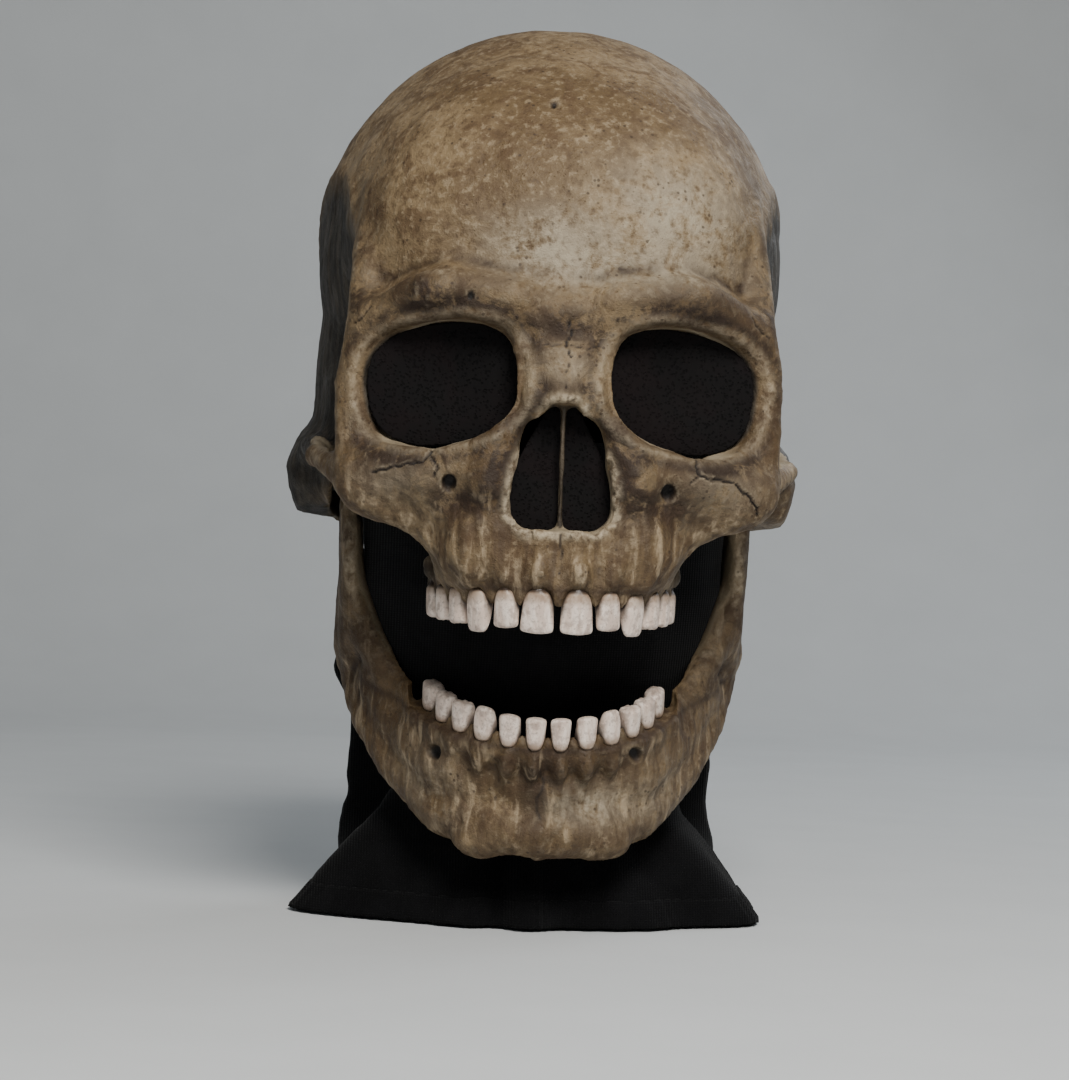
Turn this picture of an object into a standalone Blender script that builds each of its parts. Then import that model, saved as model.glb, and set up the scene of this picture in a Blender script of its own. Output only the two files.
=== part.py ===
"""Full-head latex skull mask with a jaw that follows the wearer's jaw.

Metres, +Z up. The face looks along -Y and the wearer's left is +X. The origin is midway
between the two jaw hinges, which sit beside the wearer's own jaw joints. The jaw is drawn
closed, teeth together, and is then hung open by JAW_OPEN about the hinge axis.
"""
import math

import bmesh
import bpy
import numpy as np
from mathutils import Euler, Matrix, Vector

MM = 0.001

# Driving dimensions
HALF_WIDTH = 98 * MM          # cranium, side to side
JAW_OPEN = math.radians(18)   # how far the jaw hangs open
WALL = 3 * MM                 # latex skin
GAP = 0.3 * MM                # between pieces that touch
RUNNING = 0.06 * MM           # between the hinge screws and the jaw's bores
VOXEL = 3 * MM                # size of the cells that merge the skull's masses
GUM_Z = -48 * MM              # underside of the upper gum
LOWER_GUM_Z = -78 * MM        # top of the lower gum, jaw closed

# Jaw hinge, along X
PIN_R = 2.5 * MM
BRACKET_FACE = 84.5 * MM      # inner face of the bracket
LUG_X = (76.6 * MM, 82.9 * MM)
LUG_R = 9.5 * MM
WASHER = 1.0 * MM

# Eye sockets
EYE = Vector((46, -104, 28)) * MM
EYE_HALF = Vector((30, 34, 23)) * MM
EYE_TURN = (0, 9, 12)         # outer corner lower, and looking a little outwards
EYE_MESH_Y = 9 * MM           # depth of the mesh behind the socket's centre

# Tooth rows: (name, width, height) from the middle outwards
UPPER_TEETH = (
    ("central", 11.6, 16.2), ("lateral", 9.2, 14.6), ("canine", 10.4, 16.4),
    ("premolar_1", 8.6, 14.2), ("premolar_2", 8.4, 13.4), ("molar_1", 11.5, 12.6),
)
LOWER_TEETH = (
    ("central", 7.3, 12.6), ("lateral", 7.9, 12.6), ("canine", 9.0, 13.2),
    ("premolar_1", 9.2, 12.2), ("premolar_2", 9.6, 11.8), ("molar_1", 12.8, 11.2),
)
TOOTH_SPACE = 2.2 * MM
TOOTH_DEPTH = 8.4 * MM

# Black hood, jaw open: height, half width in front, half width behind the jaw, front y, back y (mm)
HOOD = (
    (-180, 94, 94, -58, 98), (-160, 78, 92, -48, 88), (-140, 60, 88, -38, 78),
    (-122, 53, 88, -40, 75), (-108, 53, 88, -48, 76), (-95, 55, 88, -60, 80),
    (-70, 62, 84, -80, 90), (-48, 69, 80, -92, 100), (-26, 70, 79, -99, 112), (12, 70, 86, -99, 122),
)
HOOD_SIDE_Y = -8 * MM

BONE = (0.42, 0.33, 0.21, 1)
ENAMEL = (0.72, 0.66, 0.58, 1)
BLACK = (0.012, 0.012, 0.013, 1)
FOAM = (0.03, 0.03, 0.032, 1)
NYLON = (0.05, 0.05, 0.055, 1)
STEEL = (0.55, 0.55, 0.56, 1)

parts = bpy.data.collections.new("skull_mask")
cutters = bpy.data.collections.new("cutters")


# ---------------------------------------------------------------- tools

def clear_scene():
    for old in list(bpy.data.objects):
        bpy.data.objects.remove(old, do_unlink=True)
    for collection in (parts, cutters):
        bpy.context.scene.collection.children.link(collection)


def material(name, colour, roughness=0.6, metallic=0.0):
    made = bpy.data.materials.new(name)
    made.use_nodes = True
    shader = made.node_tree.nodes["Principled BSDF"]
    shader.inputs["Base Color"].default_value = colour
    shader.inputs["Roughness"].default_value = roughness
    shader.inputs["Metallic"].default_value = metallic
    return made


def mm(*values):
    return Vector(values) * MM


def superblob(bm, centre, half, turn=(0, 0, 0), h=2.0, v=2.0, cuts=7):
    """Adds a rounded solid to bm: an ellipsoid, or squarer as h (plan) and v (height) rise above 2."""
    count = len(bm.verts)
    corners = bmesh.ops.create_cube(bm, size=2.0)["verts"]
    edges = list({edge for vert in corners for edge in vert.link_edges})
    bmesh.ops.subdivide_edges(bm, edges=edges, cuts=cuts, use_grid_fill=True)
    bm.verts.ensure_lookup_table()
    verts = bm.verts[count:]
    spin = Euler([math.radians(a) for a in turn]).to_matrix()
    for vert in verts:
        p = [math.tan(c * math.pi / 4) for c in vert.co]
        plan = (abs(p[0]) ** h + abs(p[1]) ** h) ** (v / h)
        size = (plan + abs(p[2]) ** v) ** (1 / v)
        local = Vector(c / size * s for c, s in zip(p, half))
        vert.co = spin @ local + Vector(centre)
    return verts


def chain(bm, points, cuts=4):
    """Adds a run of overlapping balls along points, each (x, y, z, radius) in millimetres."""
    for a, b in zip(points, points[1:]):
        steps = max(1, round(math.dist(a[:3], b[:3]) / (0.5 * min(a[3], b[3]))))
        for i in range(steps + 1):
            x, y, z, r = (p + (q - p) * i / steps for p, q in zip(a, b))
            superblob(bm, mm(x, y, z), (r * MM,) * 3, cuts=cuts)


def both_sides(points):
    return points, [(-p[0], *p[1:]) for p in points]


def new_object(name, bm, where=cutters):
    mesh = bpy.data.meshes.new(name)
    bmesh.ops.recalc_face_normals(bm, faces=bm.faces)
    bm.to_mesh(mesh)
    bm.free()
    made = bpy.data.objects.new(name, mesh)
    where.objects.link(made)
    if where is cutters:
        made.hide_render = True
        made.display_type = "WIRE"
    return made


def baked(obj, name=None):
    """Replaces the object's mesh by the evaluated one, in world space, and drops its modifiers."""
    bpy.context.view_layer.update()
    graph = bpy.context.evaluated_depsgraph_get()
    mesh = bpy.data.meshes.new_from_object(obj.evaluated_get(graph))
    mesh.transform(obj.matrix_world)
    obj.modifiers.clear()
    obj.matrix_world = Matrix.Identity(4)
    obj.data = mesh
    if name:
        obj.name = mesh.name = name
    return obj


def largest_island(obj):
    """Drops closed bubbles, which are left where the merged masses enclose a gap."""
    bm = bmesh.new()
    bm.from_mesh(obj.data)
    islands, waiting = [], set(bm.verts)
    while waiting:
        found, edge = set(), [waiting.pop()]
        while edge:
            vert = edge.pop()
            found.add(vert)
            near = {link.other_vert(vert) for link in vert.link_edges} & waiting
            waiting -= near
            edge.extend(near)
        islands.append(found)
    keep = max(islands, key=len)
    bmesh.ops.delete(bm, geom=[v for v in bm.verts if v not in keep], context="VERTS")
    bm.to_mesh(obj.data)
    bm.free()


def drop_doubled_faces(obj):
    """Drops pairs of faces that lie back to back on the same corners, which thinning can leave."""
    bm = bmesh.new()
    bm.from_mesh(obj.data)
    seen = {}
    for face in bm.faces:
        seen.setdefault(frozenset(face.verts), []).append(face)
    doubled = [face for faces in seen.values() if len(faces) > 1 for face in faces]
    bmesh.ops.delete(bm, geom=doubled, context="FACES")
    bm.to_mesh(obj.data)
    bm.free()
    return obj


def melted(obj, keep, voxel=VOXEL, smooth=8):
    """Merges the overlapping masses in obj into one smooth skin with about keep of its faces."""
    remesh = obj.modifiers.new("merge", "REMESH")
    remesh.mode = "VOXEL"
    remesh.voxel_size = voxel
    soften = obj.modifiers.new("soften", "SMOOTH")
    soften.factor = 0.5
    soften.iterations = smooth
    largest_island(baked(obj))
    thin = obj.modifiers.new("thin", "DECIMATE")
    thin.ratio = keep
    thin.use_symmetry = True
    thin.symmetry_axis = "X"
    return drop_doubled_faces(baked(obj))


def boolean(obj, operation, *others):
    """Applies one Boolean at a time, in triangles, so that no bent face reaches the next one."""
    for other in others:
        cut = obj.modifiers.new(operation.lower(), "BOOLEAN")
        cut.operation = operation
        cut.object = other
        obj.modifiers.new("triangles", "TRIANGULATE")
        baked(obj)
    return obj


def copy_of(obj, name):
    made = bpy.data.objects.new(name, obj.data.copy())
    cutters.objects.link(made)
    made.hide_render = True
    made.display_type = "WIRE"
    return made


def solid(name, build, where=cutters):
    """An object made from the shapes that build adds to an empty bmesh."""
    bm = bmesh.new()
    build(bm)
    return new_object(name, bm, where)


def block(bm, low, high, turn=(0, 0, 0)):
    """Adds a box between two corners given in millimetres, turned about its own centre."""
    low, high = Vector(low), Vector(high)
    matrix = Matrix.Translation((low + high) / 2 * MM)
    matrix @= Euler([math.radians(a) for a in turn]).to_matrix().to_4x4()
    matrix @= Matrix.Diagonal(((high - low) * MM).to_4d())
    bmesh.ops.create_cube(bm, size=1.0, matrix=matrix)


def cylinder_x(bm, x0, x1, radius, y=0.0, z=0.0, segments=24):
    matrix = Matrix.Translation(((x0 + x1) / 2, y, z)) @ Matrix.Rotation(math.pi / 2, 4, "Y")
    bmesh.ops.create_cone(
        bm, cap_ends=True, segments=segments, radius1=radius, radius2=radius,
        depth=abs(x1 - x0), matrix=matrix,
    )


def publish(obj, name, finish, body, smooth=True):
    """Makes obj a part: names it, colours it and hangs it on its body."""
    for holder in list(obj.users_collection):
        holder.objects.unlink(obj)
    parts.objects.link(obj)
    obj.hide_render = False
    obj.display_type = "TEXTURED"
    obj.name = obj.data.name = name
    obj.data.materials.clear()
    obj.data.materials.append(finish)
    if smooth:
        obj.data.shade_smooth()
        obj.data.set_sharp_from_angle(angle=math.radians(35))
    obj.parent = body
    return obj


# ---------------------------------------------------------------- the skull's masses

def head_masses(bm, shrink=0.0, cuts=11):
    """Braincase: vault, sides, forehead and occiput. shrink moves the surface inwards."""
    less = Vector((shrink,) * 3)
    superblob(bm, mm(0, 20, 82), Vector((HALF_WIDTH, 116 * MM, 99 * MM)) - less, cuts=cuts)
    superblob(bm, mm(0, 24, 28), Vector((HALF_WIDTH, 108 * MM, 94 * MM)) - less, v=2.6, cuts=cuts)
    superblob(bm, mm(0, -34, 84), mm(82, 73, 76) - less, h=2.6, cuts=cuts)
    superblob(bm, mm(0, -10, 88), mm(90, 94, 81) - less, h=2.2, cuts=cuts)
    superblob(bm, mm(0, 58, 34), mm(84, 78, 72) - less, cuts=cuts)
    for side in (1, -1):
        superblob(bm, mm(side * 62, -62, 30), mm(17, 26, 44) - less, cuts=cuts)


def face_masses(bm):
    """Brow, nose bridge, cheekbones, upper jaw and the arches to the ears."""
    superblob(bm, mm(0, -104, 54), mm(20, 12, 13), cuts=5)
    superblob(bm, mm(0, -88, -26), mm(38, 33, 30), cuts=7)
    chain(bm, [(0, -106, 46, 9), (0, -117, 25, 7.5)])
    runs = (
        [(14, -107, 57, 10), (46, -104, 62, 10), (74, -86, 50, 9)],
        [(74, -86, 50, 9), (80, -83, 28, 7), (77, -85, 2, 9)],
        [(8, -109, 44, 8), (10, -113, 22, 7)],
        [(14, -106, 42, 8), (21, -110, 18, 8), (27, -112, -8, 10)],
        [(24, -110, 6, 7), (48, -105, -6, 9), (68, -92, -6, 11)],
        [(64, -88, -12, 13), (50, -90, -22, 9), (40, -91, -37, 7)],
        [(74, -84, 50, 9), (76, -78, 64, 7), (76, -69, 84, 5), (74, -62, 106, 4)],
        [(0, -114, -42, 8), (20, -109, -42, 8), (34, -97, -42, 8), (41, -80, -42, 8)],
        [(78, -80, -6, 9), (90, -56, -1, 6), (94, -30, 3, 5.5), (96, -6, 6, 7), (95, 14, 6, 9)],
    )
    for run in runs:
        for side in both_sides(run):
            chain(bm, side)
    for side in (1, -1):
        superblob(bm, mm(side * 66, -88, -9), mm(20, 15, 16), cuts=5)
        superblob(bm, mm(side * 26, -98, -32), mm(20, 20, 22), cuts=5)
        superblob(bm, mm(side * 42, -95, -14), mm(16, 13, 12), cuts=5)
        superblob(bm, mm(side * 93, 24, -4), mm(13, 22, 24), cuts=5)


def jaw_masses(bm):
    """Lower jaw with the teeth together: chin, body, angle and the two upright rami."""
    superblob(bm, mm(0, -110, -114), mm(26, 11, 10.5), cuts=5)
    runs = (
        [(0, -108, -80, 8.5), (18, -105, -80, 8.5), (35, -93, -80, 8.5), (46, -74, -79, 8),
         (53, -54, -77, 8)],
        [(0, -106, -112, 12), (18, -104, -113, 12), (36, -91, -114, 11), (54, -64, -106, 10.5),
         (68, -38, -94, 9.5), (76, -16, -80, 8)],
        [(0, -107, -96, 10), (36, -91, -96, 11), (55, -60, -90, 10), (66, -40, -80, 9)],
        [(77, -16, -74, 8), (78.5, -6, -48, 5.5), (79.8, 0, -14, 4.5), (79.8, 0, 0, 4.2)],
        [(58, -52, -76, 8), (69, -40, -62, 7), (76, -31, -42, 5.5), (79.6, -27, -18, 4), (79.8, -27, -2, 3)],
        [(72, -28, -62, 7), (77, -18, -40, 5), (79.4, -14, -22, 4.2)],
    )
    for run in runs:
        for side in both_sides(run):
            chain(bm, side)
    for side in (1, -1):
        superblob(bm, mm(side * 22, -106, -118), mm(14, 10, 9), cuts=4)
        superblob(bm, mm(side * 77.5, -19, -48), mm(5, 20, 36), (6, 0, 0), h=3, v=3, cuts=5)


# ---------------------------------------------------------------- cutters

def eye_socket(side, shrink=0.0):
    half = EYE_HALF - Vector((shrink, 0, shrink))
    centre = Vector((side * EYE.x, EYE.y, EYE.z))
    turn = (EYE_TURN[0], side * EYE_TURN[1], side * EYE_TURN[2])

    def build(bm):
        superblob(bm, centre, half, turn, h=2.6, v=2.6, cuts=7)
    return solid("eye_socket", build)


def nose_outline(z):
    """Half width of the nose opening at height z: a pear with its narrow end up."""
    top, bottom, widest = 21 * MM, -26 * MM, 19 * MM
    s = (top - z) / (top - bottom)
    return widest * (0.32 + 0.68 * math.sin(math.pi / 2 * min(1, s / 0.75)) ** 1.3)


def nose_plate(bm, y0, y1, inset=0.0):
    """A slab with the nose opening's outline, from y0 to y1."""
    heights = [(21 - 47 * i / 9) * MM for i in range(10)]
    side = [(nose_outline(z) - inset, z) for z in heights]
    side[0] = (side[0][0] * 0.8, side[0][1] - inset)
    side[-1] = (side[-1][0] * 0.72, side[-1][1] + inset)
    outline = side + [(-x, z) for x, z in reversed(side)]
    front = [bm.verts.new((x, y0, z)) for x, z in outline]
    back = [bm.verts.new((x, y1, z)) for x, z in outline]
    bm.faces.new(front)
    bm.faces.new(list(reversed(back)))
    for i, vert in enumerate(front):
        j = (i + 1) % len(front)
        bm.faces.new((front[j], vert, back[i], back[j]))


def inside_masses(bm):
    """The room inside the cranium: the braincase less its wall, and the wearer's face."""
    head_masses(bm, WALL)
    superblob(bm, mm(0, -22, -14), mm(64, 80, 105), h=3, v=3, cuts=11)


def chin_space(bm, shrink=0.0):
    """Room for the wearer's chin inside the closed jaw."""
    less = Vector((shrink,) * 3)
    superblob(bm, mm(0, 2, -90), mm(72, 98, 100) - less, h=1.8, v=5, cuts=9)


# ---------------------------------------------------------------- latex shells

def cranium_shell(hollow, bone, body):
    def masses(bm):
        head_masses(bm)
        face_masses(bm)
    shell = melted(solid("cranium_shell", masses), keep=0.048)
    sockets = [eye_socket(side) for side in (1, -1)]
    nose = solid("nose_cut", lambda bm: nose_plate(bm, -140 * MM, -80 * MM))

    def under(bm):
        """Trims the neck edge, which slopes down to the back, and the gum line."""
        block(bm, (-130, -14, -190), (130, 190, -32), turn=(-9, 0, 0))
    def palate(bm):
        block(bm, (-60, -140, -150), (60, -56, GUM_Z / MM))
    def throat(bm):
        block(bm, (-84.3, -64.4, -151), (84.3, 10.2, -24))
    def temples(bm):
        """Opens the side wall between cheekbone and hinge, inside the arch, for the ramus."""
        for side in (1, -1):
            low, high = sorted((side * 50, side * 86))
            block(bm, (low, -71.3, -152), (high, -13.2, 5))

    def ramus_sweep(bm):
        for side in (1, -1):
            low, high = sorted((side * 60, side * 86.2))
            block(bm, (low, -16.5, -60), (high, 18.2, -8.1))

    def low_sides(bm):
        for side in (1, -1):
            low, high = sorted((side * 57, side * 140))
            block(bm, (low, -84.6, -153), (high, -10.4, -28.3))
    cuts = [solid(f.__name__, f) for f in (under, palate, throat, temples, ramus_sweep, low_sides)]
    boolean(shell, "DIFFERENCE", *sockets, nose, *cuts, hollow)
    septum = solid("septum", lambda bm: block(bm, (-1, -113, -31), (1, -107.5, 27)))
    boolean(shell, "UNION", septum)
    return publish(shell, "cranium_shell", bone, body)


def mandible_shell(bone, body):
    jaw = melted(solid("mandible_shell", jaw_masses), keep=0.1, voxel=2.6 * MM, smooth=6)

    def lugs(side):
        x0, x1 = (side * x for x in LUG_X)
        return solid("lug", lambda bm: cylinder_x(bm, x0, x1, LUG_R))
    def gum(bm):
        block(bm, (-53, -140, LOWER_GUM_Z / MM), (53, -62, -40))
    def faces(side, x0, x1):
        low, high = sorted((side * x0, side * x1))
        return solid("face", lambda bm: block(bm, (low, -13, -11), (high, 14, 20)))
    chin = solid("chin_space", chin_space)
    flats = [faces(s, *x) for s in (1, -1) for x in ((60, 76.6), (82.9, 100))]
    bores = [solid("bore", lambda bm: cylinder_x(bm, -120 * MM, 120 * MM, PIN_R + RUNNING))]
    boolean(jaw, "DIFFERENCE", chin, solid("gum", gum), *flats)
    boolean(jaw, "UNION", lugs(1), lugs(-1))
    boolean(jaw, "DIFFERENCE", *bores)
    return publish(jaw, "mandible_shell", bone, body)


# ---------------------------------------------------------------- teeth

def arch_place(half_width, depth, front, distance):
    """Point and heading on a tooth row's half ellipse, distance along it from the middle."""
    along, t, step = 0.0, 0.0, math.radians(0.25)
    while along < distance:
        along += math.hypot(half_width * math.cos(t), depth * math.sin(t)) * step
        t += step
    x, y = half_width * math.sin(t), front + depth * (1 - math.cos(t))
    heading = math.atan2(depth * math.sin(t), half_width * math.cos(t))
    return x, y, math.degrees(heading)


def tooth_row(prefix, teeth, arch, gum_z, up, enamel, body):
    """Sets each tooth on the gum; up is +1 where the crowns stand up and -1 where they hang."""
    for side, word in ((1, "left"), (-1, "right")):
        distance = TOOTH_SPACE / 2
        for label, width, height in teeth:
            width, height = width * MM, height * MM
            x, y, heading = arch_place(*arch, distance + width / 2)
            z = gum_z + up * (GAP + height / 2)

            def build(bm):
                superblob(bm, (side * x, y + TOOTH_DEPTH / 2, z),
                          (width / 2, TOOTH_DEPTH / 2, height / 2),
                          (0, 0, side * heading), h=3, v=4, cuts=2)
            tooth = solid("tooth", build)
            publish(tooth, f"{prefix}_{label}_{word}", enamel, body)
            distance += width + TOOTH_SPACE


# ---------------------------------------------------------------- black mesh and fabric

def eye_mesh(side, word, black, body):
    plate = eye_socket(side, shrink=0.6 * MM)
    turn = Euler((0, 0, math.radians(side * EYE_TURN[2]))).to_matrix()
    middle = Vector((side * EYE.x, EYE.y, EYE.z)) + turn @ Vector((0, EYE_MESH_Y, 0))

    def slab(bm):
        matrix = Matrix.Translation(middle) @ turn.to_4x4() @ Matrix.Diagonal((0.09, 0.0012, 0.08, 1))
        bmesh.ops.create_cube(bm, size=1.0, matrix=matrix)
    boolean(plate, "INTERSECT", solid("slab", slab))
    publish(plate, f"eye_mesh_{word}", black, body)


def hood_ring(z):
    """(half width in front, half width behind, front y, back y) of the hood at height z."""
    heights = [row[0] * MM for row in HOOD]
    return tuple(float(np.interp(z, heights, [row[k] * MM for row in HOOD])) for k in (1, 2, 3, 4))


def hood_point(z, angle):
    """Point on the hood: angle 0 is the front, 90 degrees the wearer's left, 180 the back."""
    half, half_behind, front, back = hood_ring(z)
    c, s = math.cos(angle), math.sin(angle)
    reach = (HOOD_SIDE_Y - front) if c > 0 else (back - HOOD_SIDE_Y)
    low = float(np.interp(z, (-60 * MM, -30 * MM), (1, 0)))
    start = 0.22 + 0.2 * low
    behind = float(np.interp(-c, (start, start + 0.2), (0, 1)))
    half += (half_behind - half) * behind
    width = half * abs(s) ** (1.7 if c > 0 else 0.8 - 0.2 * behind * low)
    return Vector((width if s > 0 else -width, HOOD_SIDE_Y - reach * c, z))


def hood_piece(name, angles, heights, finish, body, closed=False, thickness=1.2 * MM):
    """A fabric panel between the given angles and heights, thickened inwards."""
    bm = bmesh.new()
    rows = [[bm.verts.new(hood_point(z, a)) for a in angles] for z in heights]
    for upper, lower in zip(rows, rows[1:]):
        for i in range(len(angles) - (0 if closed else 1)):
            j = (i + 1) % len(angles)
            bm.faces.new((upper[i], upper[j], lower[j], lower[i]))
    made = new_object(name, bm, parts)
    skin = made.modifiers.new("cloth", "SOLIDIFY")
    skin.thickness = thickness
    skin.offset = 0
    return publish(baked(made), name, finish, body)


def spread(start, end, count):
    return [start + (end - start) * i / (count - 1) for i in range(count)]


def hood(black, head):
    front = [math.radians(a) for a in spread(-97.8, 97.8, 19)]
    back = [math.radians(a) for a in spread(98.1, 261.9, 27)]
    face_z = [z * MM for z in (1, -24, -46, -62, -78, -94, -108, -119)]
    throat_z = [z * MM for z in (-119.5, -130, -142, -156, -171.5)]
    neck_z = [z * MM for z in (8, -30, -64, -94, -119, -142, -156, -171.5)]
    hood_piece("face_panel", front, face_z, black, head)
    hood_piece("throat_panel", front, throat_z, black, head)
    hood_piece("neck_hood", back, neck_z, black, head)
    around = [math.radians(a) for a in spread(0, 350, 36)]
    hood_piece("hem_band", around, [z * MM for z in (-172, -181)], black, head, closed=True,
               thickness=2.4 * MM)


# ---------------------------------------------------------------- what is glued inside the cranium

def sunk(hollow, depth, name):
    """A copy of the cranium's hollow with its surface moved inwards by depth."""
    made = copy_of(hollow, name)
    for vert in made.data.vertices:
        vert.co -= vert.normal * depth
    return made


def pads(hollow, foam, head):
    """Foam pads that fill the first 9 mm inside the wall."""
    core = melted(solid("core", lambda bm: head_masses(bm, WALL + 9 * MM)), keep=0.03, smooth=16)
    spots = (
        ("forehead_pad", (0, -96, 104), (46, 30, 17)),
        ("crown_pad", (0, 20, 168), (44, 52, 22)),
        ("occipital_pad", (0, 136, 74), (44, 30, 22)),
        ("temple_pad_left", (94, 34, 82), (22, 36, 18)),
        ("temple_pad_right", (-94, 34, 82), (22, 36, 18)),
    )
    for name, centre, half in spots:
        def shape(bm):
            superblob(bm, mm(*centre), mm(*half), h=5, v=5, cuts=4)
        pad = sunk(hollow, 4 * GAP, name)
        boolean(pad, "INTERSECT", solid("shape", shape))
        boolean(pad, "DIFFERENCE", core)
        publish(pad, name, foam, head)


def oval(bm, half_x, half_y, y, z0, z1):
    matrix = Matrix.Translation((0, y, (z0 + z1) / 2)) @ Matrix.Diagonal((half_x, half_y, 1, 1))
    bmesh.ops.create_cone(bm, cap_ends=True, segments=56, radius1=1, radius2=1,
                          depth=z1 - z0, matrix=matrix)


def head_strap(hollow, elastic, nylon, head):
    """An elastic band round the back of the wearer's head, its two end blocks and its slider."""
    half, reach, middle, thick = 80 * MM, 99 * MM, 20 * MM, 1.6 * MM
    low, high = 22 * MM, 44 * MM
    band = solid("band", lambda bm: oval(bm, half + thick, reach + thick, middle, low, high))
    inside = solid("inside", lambda bm: oval(bm, half, reach, middle, low - MM, high + MM))
    front = solid("front", lambda bm: block(bm, (-130, -130, 0), (130, 1, 60)))
    boolean(band, "DIFFERENCE", inside, front)
    publish(band, "head_strap", elastic, head)
    for side, word in ((1, "left"), (-1, "right")):
        def tab(bm):
            x0, x1 = sorted((side * ((half + thick) / MM + 0.4), side * 110))
            block(bm, (x0, 2, 20), (x1, 16, 46))
        anchor = sunk(hollow, 2 * GAP, "anchor")
        boolean(anchor, "INTERSECT", solid("tab", tab))
        publish(anchor, f"strap_anchor_{word}", nylon, head)

    def frame(bm):
        block(bm, (-13, 114.4, 18.5), (13, 124, 47.5))

    def slot(bm):
        block(bm, (-30, 117, 21), (30, 121.4, 45))
    slider = boolean(solid("frame", frame), "DIFFERENCE", solid("slot", slot))
    publish(slider, "strap_slider", nylon, head, smooth=False)


# ---------------------------------------------------------------- jaw hinge and chin cup

def hinge(hollow, side, word, nylon, steel, head):
    def turned(label, x0, x1, radius, segments=24):
        """A round piece on the hinge axis between two distances from the middle, in millimetres."""
        x0, x1 = side * x0 * MM, side * x1 * MM
        return solid(label, lambda bm: cylinder_x(bm, x0, x1, radius * MM, segments=segments))

    def plate_shape(bm):
        low, high = sorted((side * BRACKET_FACE / MM, side * 110))
        block(bm, (low, -9, -12), (high, 15, 13))

    bracket = sunk(hollow, 2 * GAP, "bracket")
    boolean(bracket, "INTERSECT", solid("plate", plate_shape))
    boolean(bracket, "DIFFERENCE", turned("bore", 80, 89, (PIN_R + GAP) / MM))
    publish(bracket, f"hinge_bracket_{word}", nylon, head)

    face = (LUG_X[0] - 2 * GAP - WASHER) / MM
    screw = turned("screw", face - 0.5, 88.5, PIN_R / MM)
    boolean(screw, "UNION", turned("flange", face - 2.6, face - GAP / MM, 5.5))
    boolean(screw, "DIFFERENCE", turned("drive", face - 4, face - 1.4, 1.8, segments=6))
    publish(screw, f"shoulder_screw_{word}", steel, head)
    for label, x in (("inner", LUG_X[0] - GAP - WASHER), ("outer", LUG_X[1] + GAP)):
        x /= MM
        ring = turned("washer", x, x + WASHER / MM, 6.2)
        boolean(ring, "DIFFERENCE", turned("hole", x - 1, x + 3, (PIN_R + GAP) / MM))
        publish(ring, f"washer_{label}_{word}", nylon, head)


def chin_cup(foam, jaw):
    def cup_shape(bm):
        superblob(bm, mm(0, -94, -104), mm(27, 30, 15), h=4, v=4, cuts=4)
    def core(bm):
        chin_space(bm, 6.5 * MM)
    cup = solid("chin_cup", lambda bm: chin_space(bm, 0.8 * MM))
    boolean(cup, "DIFFERENCE", solid("core", core))
    boolean(cup, "INTERSECT", solid("shape", cup_shape))
    publish(cup, "chin_cup", foam, jaw)


# ---------------------------------------------------------------- assembly

def main():
    clear_scene()
    bone = material("bone_latex", BONE, 0.62)
    enamel = material("enamel", ENAMEL, 0.35)
    cloth = material("black_knit", BLACK, 0.9)
    screen = material("black_mesh", BLACK, 0.8)
    foam = material("foam", FOAM, 0.95)
    nylon = material("nylon", NYLON, 0.5)
    steel = material("steel", STEEL, 0.3, 1.0)

    head = bpy.data.objects.new("head_frame", None)
    jaw = bpy.data.objects.new("jaw_frame", None)
    for empty in (head, jaw):
        parts.objects.link(empty)

    hollow = melted(solid("hollow", inside_masses), keep=0.045, smooth=16)
    cranium_shell(hollow, bone, head)
    mandible_shell(bone, jaw)
    upper = (45 * MM, 56 * MM, -121.5 * MM)
    lower = (45.5 * MM, 56 * MM, -117 * MM)
    tooth_row("upper", UPPER_TEETH, upper, GUM_Z, -1, enamel, head)
    tooth_row("lower", LOWER_TEETH, lower, LOWER_GUM_Z, 1, enamel, jaw)
    for side, word in ((1, "left"), (-1, "right")):
        eye_mesh(side, word, screen, head)
        hinge(hollow, side, word, nylon, steel, head)
    nose = solid("nose_mesh", lambda bm: nose_plate(bm, -107 * MM, -105.8 * MM, 0.6 * MM))
    publish(nose, "nose_mesh", screen, head)
    hood(cloth, head)
    pads(hollow, foam, head)
    head_strap(hollow, cloth, nylon, head)
    chin_cup(foam, jaw)

    jaw.rotation_euler.x = JAW_OPEN
    for helper in list(cutters.objects):
        bpy.data.objects.remove(helper, do_unlink=True)


main()
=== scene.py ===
"""Looks of the full-head latex skull mask: aged bone paint, teeth, black hood, and what holds it on.

Every length below is in millimetres unless a name says otherwise; meshes are made in metres.
"""
import math

import bmesh
import bpy
import numpy as np
from mathutils import Matrix, Vector


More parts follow.
